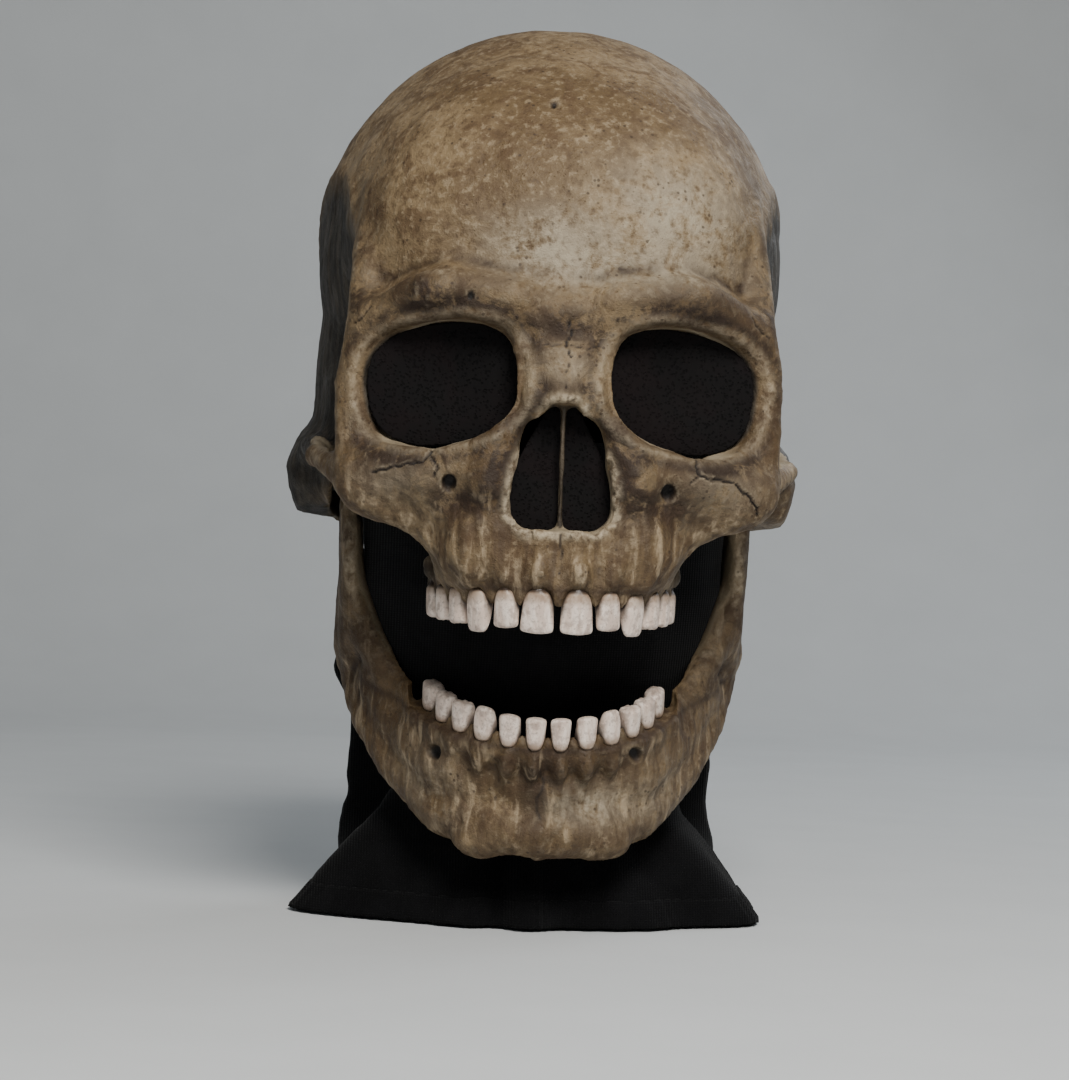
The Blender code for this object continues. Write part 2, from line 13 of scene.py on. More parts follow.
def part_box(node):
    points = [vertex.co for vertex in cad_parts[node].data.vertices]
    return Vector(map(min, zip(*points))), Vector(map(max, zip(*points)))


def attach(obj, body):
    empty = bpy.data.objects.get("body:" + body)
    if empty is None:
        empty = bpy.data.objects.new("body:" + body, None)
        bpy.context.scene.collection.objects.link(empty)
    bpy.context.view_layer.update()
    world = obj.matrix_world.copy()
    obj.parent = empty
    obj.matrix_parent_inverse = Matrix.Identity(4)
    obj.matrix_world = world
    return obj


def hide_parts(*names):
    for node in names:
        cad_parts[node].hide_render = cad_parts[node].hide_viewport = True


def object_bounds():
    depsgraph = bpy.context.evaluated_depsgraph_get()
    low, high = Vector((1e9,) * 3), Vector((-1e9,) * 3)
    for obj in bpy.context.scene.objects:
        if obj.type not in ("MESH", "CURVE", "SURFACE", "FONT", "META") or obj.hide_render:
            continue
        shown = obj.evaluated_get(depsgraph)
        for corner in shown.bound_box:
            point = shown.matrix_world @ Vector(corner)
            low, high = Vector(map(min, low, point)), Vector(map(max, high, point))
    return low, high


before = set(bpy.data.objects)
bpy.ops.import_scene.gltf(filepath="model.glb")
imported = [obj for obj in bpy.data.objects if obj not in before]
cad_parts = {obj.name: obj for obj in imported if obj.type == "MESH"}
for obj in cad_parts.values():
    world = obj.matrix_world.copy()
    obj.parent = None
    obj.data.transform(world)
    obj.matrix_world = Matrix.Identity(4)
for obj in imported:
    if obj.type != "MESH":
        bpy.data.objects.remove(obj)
cad_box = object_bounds()

MM = 0.001
JAW_OPEN = math.radians(18)
GUM_Z = -48.0
LOWER_GUM_Z = -78.0
EYE = (46.0, 28.0)
EYE_HALF = (30.0, 23.0)
EYE_TURN = 9.0
HOOD = (
    (-180, 94, 94, -58, 98), (-160, 78, 92, -48, 88), (-140, 60, 88, -38, 78),
    (-122, 53, 88, -40, 75), (-108, 53, 88, -48, 76), (-95, 55, 88, -60, 80),
    (-70, 62, 84, -80, 90), (-48, 69, 80, -92, 100), (-26, 70, 79, -99, 112), (12, 70, 86, -99, 122),
)
HOOD_SIDE_Y = -8.0


# ---------------------------------------------------------------- numbers

def smoothstep(low, high, x):
    t = np.clip((np.asarray(x, float) - low) / (high - low), 0, 1)
    return t * t * (3 - 2 * t)


LATTICE = np.random.RandomState(11).rand(32, 32, 32)


def value_noise(points, size, shift=0.0):
    """Smooth noise from 0 to 1 at points in mm, with lumps about size mm across (a number or three)."""
    q = points / np.asarray(size, float) + 97.3 + shift
    base = np.floor(q).astype(int)
    f = q - base
    f = f * f * (3 - 2 * f)
    total = 0.0
    for corner in range(8):
        d = np.array([corner & 1, corner >> 1 & 1, corner >> 2])
        weight = np.prod(np.where(d, f, 1 - f), axis=1)
        i = (base + d) % 32
        total = total + weight * LATTICE[i[:, 0], i[:, 1], i[:, 2]]
    return total


def fractal(points, size, octaves=3, shift=0.0):
    size = np.asarray(size, float)
    total, share = 0.0, 0.0
    for k in range(octaves):
        total = total + value_noise(points, size / 2 ** k, shift + 5.1 * k) / 2 ** k
        share += 1 / 2 ** k
    return total / share


def line_distance(p, line):
    """Distance of each 2-D point from a bent line."""
    best = np.full(len(p), 1e9)
    for a, b in zip(line, line[1:]):
        a, b = np.array(a, float), np.array(b, float)
        t = np.clip((p - a) @ (b - a) / ((b - a) @ (b - a)), 0, 1)
        best = np.minimum(best, np.linalg.norm(p - a - t[:, None] * (b - a), axis=1))
    return best


# ---------------------------------------------------------------- meshes

def add(name, mesh):
    made = bpy.data.objects.new(name, mesh)
    bpy.context.scene.collection.objects.link(made)
    return made


def from_bmesh(name, bm):
    mesh = bpy.data.meshes.new(name)
    bm.to_mesh(mesh)
    bm.free()
    return add(name, mesh)


def applied(obj):
    bpy.context.view_layer.update()
    graph = bpy.context.evaluated_depsgraph_get()
    mesh = bpy.data.meshes.new_from_object(obj.evaluated_get(graph))
    obj.modifiers.clear()
    obj.data = mesh
    return obj


def closed_copy(node, bm=None):
    """The node's mesh with its split edges joined, added to bm."""
    bm = bm or bmesh.new()
    bm.from_mesh(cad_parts[node].data)
    bmesh.ops.remove_doubles(bm, verts=bm.verts, dist=2e-6)
    return bm


def remeshed(obj, voxel, smooth):
    skin = obj.modifiers.new("skin", "REMESH")
    skin.mode = "VOXEL"
    skin.voxel_size = voxel * MM
    if smooth:
        soften = obj.modifiers.new("soften", "SMOOTH")
        soften.factor = 0.5
        soften.iterations = smooth
    return applied(obj)


def points_of(obj):
    mesh = obj.data
    co = np.empty(len(mesh.vertices) * 3, np.float32)
    mesh.vertices.foreach_get("co", co)
    normals = np.empty(len(mesh.vertices) * 3, np.float32)
    mesh.vertices.foreach_get("normal", normals)
    return co.reshape(-1, 3).astype(float) / MM, normals.reshape(-1, 3).astype(float)


def set_points(obj, points):
    obj.data.vertices.foreach_set("co", (points * MM).astype(np.float32).ravel())
    obj.data.update()


def edges_of(obj):
    edges = np.empty(len(obj.data.edges) * 2, np.int32)
    obj.data.edges.foreach_get("vertices", edges)
    return edges.reshape(-1, 2)


def blurred(values, edges, rounds):
    """values averaged with their neighbours along the mesh's edges, rounds times."""
    values = np.array(values, float)
    flat = values.ndim == 1
    if flat:
        values = values[:, None]
    count = np.bincount(edges.ravel(), minlength=len(values))[:, None] + 1e-9
    for _ in range(rounds):
        total = np.empty_like(values)
        for k in range(values.shape[1]):
            total[:, k] = (np.bincount(edges[:, 0], values[edges[:, 1], k], len(values))
                           + np.bincount(edges[:, 1], values[edges[:, 0], k], len(values)))
        values = 0.5 * values + 0.5 * total / count
    return values[:, 0] if flat else values


def relief(points, normals, edges, rounds):
    """How far each point stands proud of its surroundings (+) or lies in a hollow (-), in mm."""
    return np.einsum("ij,ij->i", points - blurred(points, edges, rounds), normals)


def paint(obj, **layers):
    for name, values in layers.items():
        attribute = obj.data.attributes.new(name, "FLOAT", "POINT")
        attribute.data.foreach_set("value", np.asarray(values, np.float32))


def refine(obj, wanted):
    """Splits each face whose middle satisfies wanted(points) into four."""
    bm = bmesh.new()
    bm.from_mesh(obj.data)
    bm.faces.ensure_lookup_table()
    middles = np.array([f.calc_center_median() for f in bm.faces]) / MM
    chosen = np.flatnonzero(wanted(middles))
    edges = {e for i in chosen for e in bm.faces[i].edges}
    bmesh.ops.subdivide_edges(bm, edges=list(edges), cuts=1, use_grid_fill=True, smooth=0)
    bmesh.ops.triangulate(bm, faces=[f for f in bm.faces if len(f.verts) > 4])
    bm.to_mesh(obj.data)
    bm.free()


def blob(bm, centre, half):
    """A rounded lump, centre and half sizes in mm."""
    matrix = Matrix.Translation(Vector(centre) * MM) @ Matrix.Diagonal((Vector(half) * MM).to_4d())
    bmesh.ops.create_icosphere(bm, subdivisions=2, radius=1.0, matrix=matrix)


# ---------------------------------------------------------------- node materials

class Shader:
    """A material's nodes, each helper returning the socket that the next one takes."""

    def __init__(self, name, roughness=0.6, metallic=0.0, specular=0.5, sheen=0.0):
        self.material = bpy.data.materials.new(name)
        self.material.use_nodes = True
        self.tree = self.material.node_tree
        self.out = self.tree.nodes["Principled BSDF"]
        self.out.inputs["Roughness"].default_value = roughness
        self.out.inputs["Metallic"].default_value = metallic
        self.out.inputs["Specular IOR Level"].default_value = specular
        self.out.inputs["Sheen Weight"].default_value = sheen
        self.where = self.node("ShaderNodeTexCoord").outputs["Object"]

    def node(self, kind, **settings):
        made = self.tree.nodes.new(kind)
        for key, value in settings.items():
            setattr(made, key, value)
        return made

    def put(self, socket, value):
        if isinstance(value, bpy.types.NodeSocket):
            self.tree.links.new(value, socket)
        elif isinstance(value, (tuple, list)) and len(value) == 3 and len(socket.default_value) == 4:
            socket.default_value = (*value, 1)
        else:
            socket.default_value = value

    def stretched(self, scale=(1, 1, 1), turn=(0, 0, 0)):
        made = self.node("ShaderNodeMapping")
        self.put(made.inputs["Vector"], self.where)
        made.inputs["Scale"].default_value = scale
        made.inputs["Rotation"].default_value = [math.radians(a) for a in turn]
        return made.outputs["Vector"]

    def noise(self, size, detail=4.0, rough=0.55, warp=0.0, where=None):
        """Noise with lumps about size mm across."""
        made = self.node("ShaderNodeTexNoise")
        self.put(made.inputs["Vector"], where or self.where)
        made.inputs["Scale"].default_value = 1 / (size * MM)
        made.inputs["Detail"].default_value = detail
        made.inputs["Roughness"].default_value = rough
        made.inputs["Distortion"].default_value = warp
        return made.outputs["Fac"]

    def cells(self, size, feature="F1", where=None):
        made = self.node("ShaderNodeTexVoronoi", feature=feature)
        self.put(made.inputs["Vector"], where or self.where)
        made.inputs["Scale"].default_value = 1 / (size * MM)
        return made.outputs["Distance"]

    def waves(self, size, axis="X", warp=0.0, where=None):
        made = self.node("ShaderNodeTexWave", bands_direction=axis)
        self.put(made.inputs["Vector"], where or self.where)
        made.inputs["Scale"].default_value = 0.314 / (size * MM)
        made.inputs["Distortion"].default_value = warp
        return made.outputs["Fac"]

    def layer(self, name):
        return self.node("ShaderNodeAttribute", attribute_name=name).outputs["Fac"]

    def steps(self, value, low, high, to_low=0.0, to_high=1.0):
        made = self.node("ShaderNodeMapRange", interpolation_type="SMOOTHSTEP")
        for key, v in (("Value", value), ("From Min", low), ("From Max", high),
                       ("To Min", to_low), ("To Max", to_high)):
            self.put(made.inputs[key], v)
        return made.outputs["Result"]

    def sum(self, a, b, how="ADD", clamp=False):
        made = self.node("ShaderNodeMath", operation=how, use_clamp=clamp)
        self.put(made.inputs[0], a)
        self.put(made.inputs[1], b)
        return made.outputs[0]

    def times(self, a, b):
        return self.sum(a, b, "MULTIPLY")

    def mix(self, amount, a, b, how="MIX"):
        made = self.node("ShaderNodeMix", data_type="RGBA", blend_type=how)
        for index, value in ((0, amount), (6, a), (7, b)):
            self.put(made.inputs[index], value)
        return made.outputs[2]

    def bump(self, height, depth, under=None, strength=1.0):
        made = self.node("ShaderNodeBump")
        made.inputs["Distance"].default_value = depth * MM
        made.inputs["Strength"].default_value = strength
        self.put(made.inputs["Height"], height)
        if under:
            self.put(made.inputs["Normal"], under)
        return made.outputs["Normal"]

    def finish(self, colour=None, roughness=None, normal=None):
        for key, value in (("Base Color", colour), ("Roughness", roughness), ("Normal", normal)):
            if value is not None:
                self.put(self.out.inputs[key], value)
        return self.material


def bone_material():
    """Tan bone with brown wash in its hollows, a light dry brush on what stands proud, and specks; painted
    shade round the eye sockets, on the cheeks, the sides of the head, the ears, inside the sockets and
    nose, at the tooth-row ends and on the jaw, and painted highlight on the forehead, cheekbones, nose
    bridge and chin.
    """
    s = Shader("bone_latex", specular=0.35)
    broad = s.noise(46, 3, 0.6, warp=0.6)
    mid = s.noise(13, 5, 0.62, warp=0.9)
    fine = s.noise(3.2, 5, 0.65)
    grain = s.noise(0.9, 3, 0.6)
    streak = s.noise(5, 4, 0.6, warp=0.3, where=s.stretched((1, 1, 0.16)))
    colour = s.mix(s.steps(broad, 0.36, 0.64), (0.118, 0.075, 0.034), (0.225, 0.158, 0.084))
    colour = s.mix(s.times(s.steps(mid, 0.44, 0.64), 0.78), colour, (0.085, 0.048, 0.021))
    colour = s.mix(s.times(s.steps(fine, 0.52, 0.66), 0.50), colour, (0.330, 0.255, 0.160))
    colour = s.mix(s.times(s.steps(fine, 0.47, 0.36), 0.55), colour, (0.070, 0.040, 0.018))
    # Lighter patches that also stand in for painted highlight where the light falls strongest.
    pale = s.times(s.layer("pale"), s.steps(s.sum(mid, s.times(fine, 0.7)), 0.62, 0.96))
    colour = s.mix(s.times(pale, 0.85), colour, (0.370, 0.315, 0.230))
    # Near-black mottled stains, together with painted shade on the cheeks under the eyes and on the sides
    # of the head.
    stain = s.times(s.layer("stain"), s.steps(s.sum(mid, fine), 0.74, 1.06))
    colour = s.mix(s.times(stain, 0.95), colour, (0.020, 0.010, 0.005))
    streaks = s.times(s.layer("streak"), s.steps(streak, 0.44, 0.66))
    colour = s.mix(s.times(streaks, 0.66), colour, (0.045, 0.024, 0.011))
    lights = s.times(s.layer("streak"), s.steps(streak, 0.46, 0.30))
    colour = s.mix(s.times(lights, 0.65), colour, (0.400, 0.310, 0.200))
    ridge = s.times(s.layer("ridge"), s.steps(fine, 0.30, 0.62))
    colour = s.mix(s.times(ridge, 0.7), colour, (0.480, 0.400, 0.280))
    # Brown wash in the hollows and a dark line at the gum, with painted shadow round the eye sockets.
    colour = s.mix(s.layer("cavity"), colour, (0.024, 0.012, 0.006))
    colour = s.mix(s.layer("crack"), colour, (0.006, 0.004, 0.003))
    specks = s.times(s.steps(s.cells(3.4), 0.24, 0.12), s.steps(s.noise(12, 2), 0.47, 0.60))
    colour = s.mix(s.times(specks, 0.7), colour, (0.030, 0.016, 0.008))
    # The dark layer: streaked dark grey-black paint in the temples, and painted shade at the ears, inside
    # the eye sockets and nose, at the ends of the tooth rows and on the back and inner side of the jaw.
    dark_streak = s.steps(s.noise(3.4, 5, 0.6, where=s.stretched((1, 1, 0.12))), 0.40, 0.72)
    dark_paint_and_shade_colour = s.mix(dark_streak, (0.007, 0.006, 0.005), (0.060, 0.050, 0.038))
    colour = s.mix(s.layer("dark"), colour, dark_paint_and_shade_colour)
    inner = s.mix(s.steps(mid, 0.35, 0.65), (0.240, 0.190, 0.125), (0.330, 0.270, 0.185))
    colour = s.mix(s.layer("inside"), colour, inner)
    rough = s.steps(mid, 0.3, 0.7, 0.50, 0.74)
    height = s.sum(s.sum(fine, s.times(grain, 0.45)), s.times(s.steps(s.cells(2.2), 0.16, 0.0), -0.5))
    normal = s.bump(height, 0.85, s.bump(mid, 1.3, strength=0.8), 0.85)
    return s.finish(colour, rough, normal)


def tooth_material():
    """Satin ivory, pinkish grey streaks down the crown, a dark ring at the gum and painted shade down the
    crown's sides.
    """
    s = Shader("tooth_enamel", specular=0.5)
    down = s.noise(2.6, 4, 0.6, warp=0.4, where=s.stretched((1, 1, 0.28)))
    fine = s.noise(1.1, 4, 0.6)
    colour = s.mix(s.steps(down, 0.36, 0.66), (0.660, 0.520, 0.430), (0.880, 0.760, 0.660))
    colour = s.mix(s.times(s.steps(s.noise(3.6, 4, 0.6), 0.48, 0.64), 0.70), colour, (0.400, 0.300, 0.250))
    colour = s.mix(s.times(s.steps(fine, 0.54, 0.66), 0.50), colour, (0.280, 0.200, 0.150))
    neck = s.times(s.layer("neck"), s.steps(s.sum(s.layer("neck"), down), 0.75, 1.15))
    colour = s.mix(s.times(neck, 0.8), colour, (0.290, 0.190, 0.115))
    # Dark ring at the gum line, with painted shade down the sides where the tooth meets its neighbours.
    colour = s.mix(s.layer("gum"), colour, (0.030, 0.018, 0.012))
    normal = s.bump(fine, 0.12, s.bump(down, 0.45))
    return s.finish(colour, s.steps(down, 0.3, 0.7, 0.30, 0.46), normal)


def knit_material():
    """Matt black stretch knit in fine ribs."""
    s = Shader("black_knit", roughness=0.95, specular=0.08, sheen=0.03)
    rib = s.waves(1.1, "X")
    loops = s.waves(0.9, "Z", warp=1.2)
    fuzz = s.noise(0.8, 3, 0.7)
    broad = s.noise(22, 3)
    colour = s.mix(s.steps(broad, 0.3, 0.7), (0.0022, 0.0022, 0.0025), (0.0045, 0.0045, 0.0050))
    colour = s.mix(s.times(s.steps(fuzz, 0.5, 0.75), 0.5), colour, (0.0085, 0.0085, 0.0092))
    height = s.sum(s.sum(rib, s.times(loops, 0.6)), s.times(fuzz, 0.5))
    return s.finish(colour, None, s.bump(height, 0.16))


def mesh_material():
    """Black see-through mesh: round holes in rows that read as small dark dots."""
    s = Shader("black_mesh", roughness=0.85, specular=0.15)
    turned = s.stretched((1, 0.0, 1), (0, 45, 0))
    holes = s.steps(s.cells(1.3, where=turned), 0.26, 0.42)
    cloud = s.noise(18, 3)
    colour = s.mix(holes, (0.0012, 0.0010, 0.0011), (0.0042, 0.0036, 0.0038))
    colour = s.mix(s.times(s.steps(cloud, 0.4, 0.7), 0.5), colour, (0.0080, 0.0042, 0.0046))
    return s.finish(colour, None, s.bump(holes, 0.25))


def foam_material():
    s = Shader("foam", roughness=0.95, specular=0.15)
    pores = s.steps(s.cells(1.4), 0.15, 0.55)
    broad = s.noise(9, 3)
    colour = s.mix(pores, (0.010, 0.010, 0.011), (0.045, 0.045, 0.048))
    colour = s.mix(s.times(s.steps(broad, 0.45, 0.7), 0.4), colour, (0.060, 0.059, 0.060))
    return s.finish(colour, None, s.bump(pores, 0.5))


def web_material():
    """Woven elastic: cords along the band, crossed by fine picks."""
    s = Shader("elastic_web", roughness=0.85, specular=0.2, sheen=0.2)
    cords = s.waves(2.0, "Z")
    picks = s.waves(0.9, "X", warp=0.6)
    colour = s.mix(cords, (0.010, 0.010, 0.011), (0.030, 0.030, 0.032))
    colour = s.mix(s.times(picks, 0.35), colour, (0.050, 0.050, 0.053))
    return s.finish(colour, None, s.bump(s.sum(cords, s.times(picks, 0.5)), 0.4))


def nylon_material():
    s = Shader("black_nylon", roughness=0.5)
    grain = s.noise(0.5, 3)
    wear = s.steps(s.noise(7, 4), 0.55, 0.75)
    colour = s.mix(s.times(wear, 0.5), (0.035, 0.035, 0.038), (0.075, 0.075, 0.080))
    return s.finish(colour, s.steps(grain, 0.3, 0.7, 0.42, 0.60), s.bump(grain, 0.08))


def steel_material():
    s = Shader("screw_steel", roughness=0.3, metallic=1.0)
    turned = s.noise(1.6, 4, 0.7, where=s.stretched((6, 1, 1)))
    spots = s.steps(s.noise(3.5, 5), 0.56, 0.70)
    colour = s.mix(turned, (0.46, 0.46, 0.47), (0.62, 0.62, 0.63))
    colour = s.mix(s.times(spots, 0.4), colour, (0.24, 0.17, 0.11))
    return s.finish(colour, s.steps(turned, 0.3, 0.7, 0.22, 0.42), s.bump(turned, 0.04))


def clothe(obj, material, body, slot, *nodes):
    """Gives a piece its finish and its body, and hides the CAD nodes it stands for."""
    obj.data.materials.clear()
    obj.data.materials.append(material)
    obj.data.shade_smooth()
    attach(obj, body)
    if nodes:
        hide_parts(*nodes)
    return obj


# ---------------------------------------------------------------- teeth

class Tooth:
    """Place, heading and size of a CAD tooth, read from its solid with the jaw closed."""

    def __init__(self, name):
        self.name = name
        self.upper = name.startswith("upper")
        co = np.array([v.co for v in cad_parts[name].data.vertices], float) / MM
        co = co if self.upper else closed(co)
        self.low, self.high = co.min(0), co.max(0)
        self.centre = (self.low + self.high) / 2
        half, depth = (45, 56) if self.upper else (45.5, 56)
        t = math.asin(max(-1, min(1, self.centre[0] / half)))
        self.heading = math.atan2(depth * math.sin(t), half * math.cos(t))
        c, s = math.cos(-self.heading), math.sin(-self.heading)
        flat = (co - self.centre)[:, :2] @ np.array([[c, s], [-s, c]])
        self.size = np.array([*(flat.max(0) - flat.min(0)), self.high[2] - self.low[2]])

    def front(self):
        """Middle of the outer face, in plan."""
        out = np.array([math.sin(self.heading), -math.cos(self.heading)])
        return self.centre[:2] + out * self.size[1] / 2


def closed(points):
    """Points turned from the open jaw to the closed one, about the hinge."""
    c, s = math.cos(-JAW_OPEN), math.sin(-JAW_OPEN)
    return points @ np.array([[1, 0, 0], [0, c, s], [0, -s, c]])


def opened(points):
    c, s = math.cos(JAW_OPEN), math.sin(JAW_OPEN)
    return points @ np.array([[1, 0, 0], [0, c, s], [0, -s, c]])


TEETH = [Tooth(n) for n in sorted(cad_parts) if n.startswith(("upper_", "lower_"))]


def crown(tooth, seed):
    """A crown with its root end sunk in the gum: chisel, point or cusps by the tooth's kind."""
    rng = np.random.RandomState(seed)
    rows, around = 24, 28
    width, depth, height = tooth.size
    sink = 4.0
    neck = (sink - 0.6) / (height + sink)
    kind = tooth.name.split("_")[1]
    grid = []
    for i in range(rows):
        u = i / (rows - 1)
        for j in range(around):
            a = 2 * math.pi * j / around
            c, s = math.cos(a), math.sin(a)
            power = 2.5
            r = (abs(c) ** power + abs(s) ** power) ** (-1 / power)
            v = max(0.0, (u - neck) / (1 - neck))
            arch = math.sqrt(1 - (1 - min(1, v / 0.42)) ** 2)
            waist = (0.34 + 0.66 * arch) * (0.90 + 0.14 * v)
            thick = 1.0 if u < 0.35 else 1.0 - 0.62 * ((u - 0.35) / 0.65) ** 1.3
            if kind == "canine":
                waist *= 1.0 - 0.34 * max(0, (u - 0.62) / 0.38) ** 1.8
            if kind in ("premolar", "molar"):
                thick = 1.0 - 0.16 * u ** 3
                waist *= 1.0 - 0.10 * max(0, (u - 0.7) / 0.3) ** 2
            tip = max(0, (u - 0.92) / 0.08)
            wide_end, deep_end = 1 - 0.16 * tip ** 2, math.sqrt(max(0.04, 1 - 0.75 * tip ** 2))
            x = c * r * width / 2 * 1.07 * waist * wide_end
            y = s * r * depth / 2 * thick * deep_end * (0.6 + 0.4 * min(1, arch + 0.3))
            y += -0.08 * depth * u ** 2 * (1 if kind in ("central", "lateral", "canine") else 0.3)
            z = u * (height + sink) - sink
            if kind in ("premolar", "molar"):
                z -= 1.1 * smoothstep(0.7, 1, u) * (0.5 + 0.5 * math.cos(2 * x)) * (1 if u > 0.7 else 0)
            if kind in ("central", "lateral") and u > 0.85:
                z -= 0.5 * (2 * x / width) ** 2
            grid.append((x, y, z))
    p = np.array(grid)
    p += 0.10 * (np.stack([value_noise(p + 40 * seed, 3.0, k) for k in range(3)], 1) - 0.5)
    lean, twist = rng.uniform(-2.5, 2.5), rng.uniform(-3.5, 3.5)
    turn = Matrix.Rotation(tooth.heading + math.radians(twist), 3, "Z")
    turn @= Matrix.Rotation(math.radians(lean), 3, "Y")
    if tooth.upper:
        p[:, 2] *= -1
    p = p @ np.array(turn).T
    u = np.repeat(np.linspace(0, 1, rows), around)
    # Painted shade down the crown's sides, where it faces the teeth beside it.
    spread = np.abs(np.tile(np.cos(np.linspace(0, 2 * math.pi, around, endpoint=False)), rows))
    rim = smoothstep(0.80, 0.97, spread) * smoothstep(0.80, 0.45, u)
    gum = tooth.high[2] if tooth.upper else tooth.low[2]
    p += (tooth.centre[0], tooth.centre[1], gum)
    if not tooth.upper:
        p = opened(p)
    bm = bmesh.new()
    verts = [bm.verts.new(v) for v in p * MM]
    for i in range(rows - 1):
        for j in range(around):
            k = (j + 1) % around
            a, b = i * around, (i + 1) * around
            bm.faces.new((verts[a + j], verts[a + k], verts[b + k], verts[b + j]))
    for start in (0, (rows - 1) * around):
        bm.faces.new(verts[start:start + around])
    bmesh.ops.recalc_face_normals(bm, faces=bm.faces)
    made = from_bmesh("tooth_" + tooth.name, bm)
    paint(made, neck=smoothstep(0.62, 0.22, u),
          gum=np.maximum(smoothstep(neck + 0.10, neck + 0.03, u), 0.85 * rim))
    smooth = made.modifiers.new("round", "SUBSURF")
    smooth.levels = smooth.render_levels = 1
    return applied(made)


ROOT_REACH = 16


def tooth_at(points, teeth, reach):
    """From 0 between teeth to 1 over a tooth's root."""
    over = np.zeros(len(points))
    for tooth in teeth:
        f = tooth.front()
        along = np.array([math.cos(tooth.heading), math.sin(tooth.heading)])
        out = np.array([math.sin(tooth.heading), -math.cos(tooth.heading)])
        d = points[:, :2] - f
        side, away = d @ along, d @ out
        over = np.maximum(over, np.exp(-(side / (tooth.size[0] * 0.40)) ** 2) * (np.abs(away) < reach))
    return over


# ---------------------------------------------------------------- skull

CRACKS = (
    ([(-47, 7), (-48.5, 1), (-52, -1.5), (-58, -3), (-64, -5), (-71, -7)], 0.55, 1.0),
    ([(-49, 0), (-46, -4), (-47, -7)], 0.45, 0.8),
    ([(48, 6), (50, 0), (52, -4), (59, -4.5), (66, -6), (72, -11), (76, -17)], 0.55, 1.0),
    ([(52, -4), (48.5, -6)], 0.4, 0.7),
    ([(0.5, 54), (1.6, 49), (0.2, 44), (1.2, 38)], 0.5, 0.9),
    ([(-12, 44), (-6, 42.5), (1, 43.5), (7, 42), (13, 43.5)], 0.4, 0.45),
    ([(0.6, 36), (0, 28), (0.5, 22)], 0.4, 0.5),
    ([(71, 57), (75, 52), (79, 50)], 0.4, 0.6),
    ([(-73, 56), (-77, 51), (-80, 50)], 0.4, 0.6),
    ([(20, 30), (23, 22), (22, 14)], 0.35, 0.4),
    ([(-20, 30), (-22, 20), (-21, 12)], 0.35, 0.4),
    ([(0, -27), (0.6, -34), (-0.2, -42)], 0.4, 0.45),
)
HOLES = ((-41.8, -9.6, 2.6, 3.0), (40.3, -10.6, 2.6, 3.0), (-6.3, 136, 1.1, 1.6), (-36, 60, 1.4, 1.2))


def front_cracks(points, facing):
    """Depth of the cracks and holes in the face, and how dark they are."""
    wobble = np.stack([value_noise(points, 3.0, 1), value_noise(points, 3.0, 2)], 1) - 0.5
    flat = points[:, [0, 2]] + 1.8 * wobble
    depth, dark = np.zeros(len(points)), np.zeros(len(points))
    for line, width, strength in CRACKS:
        d = line_distance(flat, line)
        thin = width * (0.45 + 0.75 * value_noise(points, 6.0, 3))
        mark = np.exp(-(d / thin) ** 2) * strength * facing
        depth, dark = np.maximum(depth, 1.3 * mark), np.maximum(dark, mark)
    for x, z, radius, deep in HOLES:
        d = np.hypot(points[:, 0] - x, (points[:, 2] - z) * 0.85)
        mark = smoothstep(radius * 1.25, radius * 0.55, d) * facing
        depth, dark = np.maximum(depth, deep * mark), np.maximum(dark, mark)
    return depth, dark


def eye_level(points):
    """Below 1 inside the outline of the nearer eye socket, 1 on its edge."""
    x, z = np.abs(points[:, 0]) - EYE[0], points[:, 2] - EYE[1]
    turn = math.radians(EYE_TURN)
    c, s = math.cos(turn), math.sin(turn)
    a, b = (x * c - z * s) / EYE_HALF[0], (x * s + z * c) / EYE_HALF[1]
    return (np.abs(a) ** 2.6 + np.abs(b) ** 2.6) ** (1 / 2.6)


def nose_half(z):
    share = np.clip((21 - z) / 47, 0, 1)
    return 19 * (0.32 + 0.68 * np.sin(np.pi / 2 * np.minimum(1, share / 0.75)) ** 1.3)


def nose_edge(points):
    """Distance outside the nose opening, in mm; below 0 inside it."""
    heights = [21 - 47 * i / 9 for i in range(10)]
    side = [(float(nose_half(z)), z) for z in heights]
    side[0] = (side[0][0] * 0.8, side[0][1])
    side[-1] = (side[-1][0] * 0.72, side[-1][1])
    outline = [(0, 21), *side, (0, -26)]
    flat = np.stack([np.abs(points[:, 0]), points[:, 2]], 1)
    half = np.interp(flat[:, 1], [z for _, z in reversed(side)], [x for x, _ in reversed(side)])
    within = (flat[:, 0] < half) & (flat[:, 1] < 21) & (flat[:, 1] > -26)
    return line_distance(flat, outline) * np.where(within, -1, 1)


def temple(points):
    """From 0 to 1 inside the temple's hollow, on both sides."""
    y, z = points[:, 1], points[:, 2]
    ring = np.sqrt(((y + 8) / 62) ** 2 + ((z - 52) / 62) ** 2)
    ring = ring + 0.22 * (fractal(points, 16, 4, 7) - 0.5)
    return smoothstep(62, 72, np.abs(points[:, 0])), ring


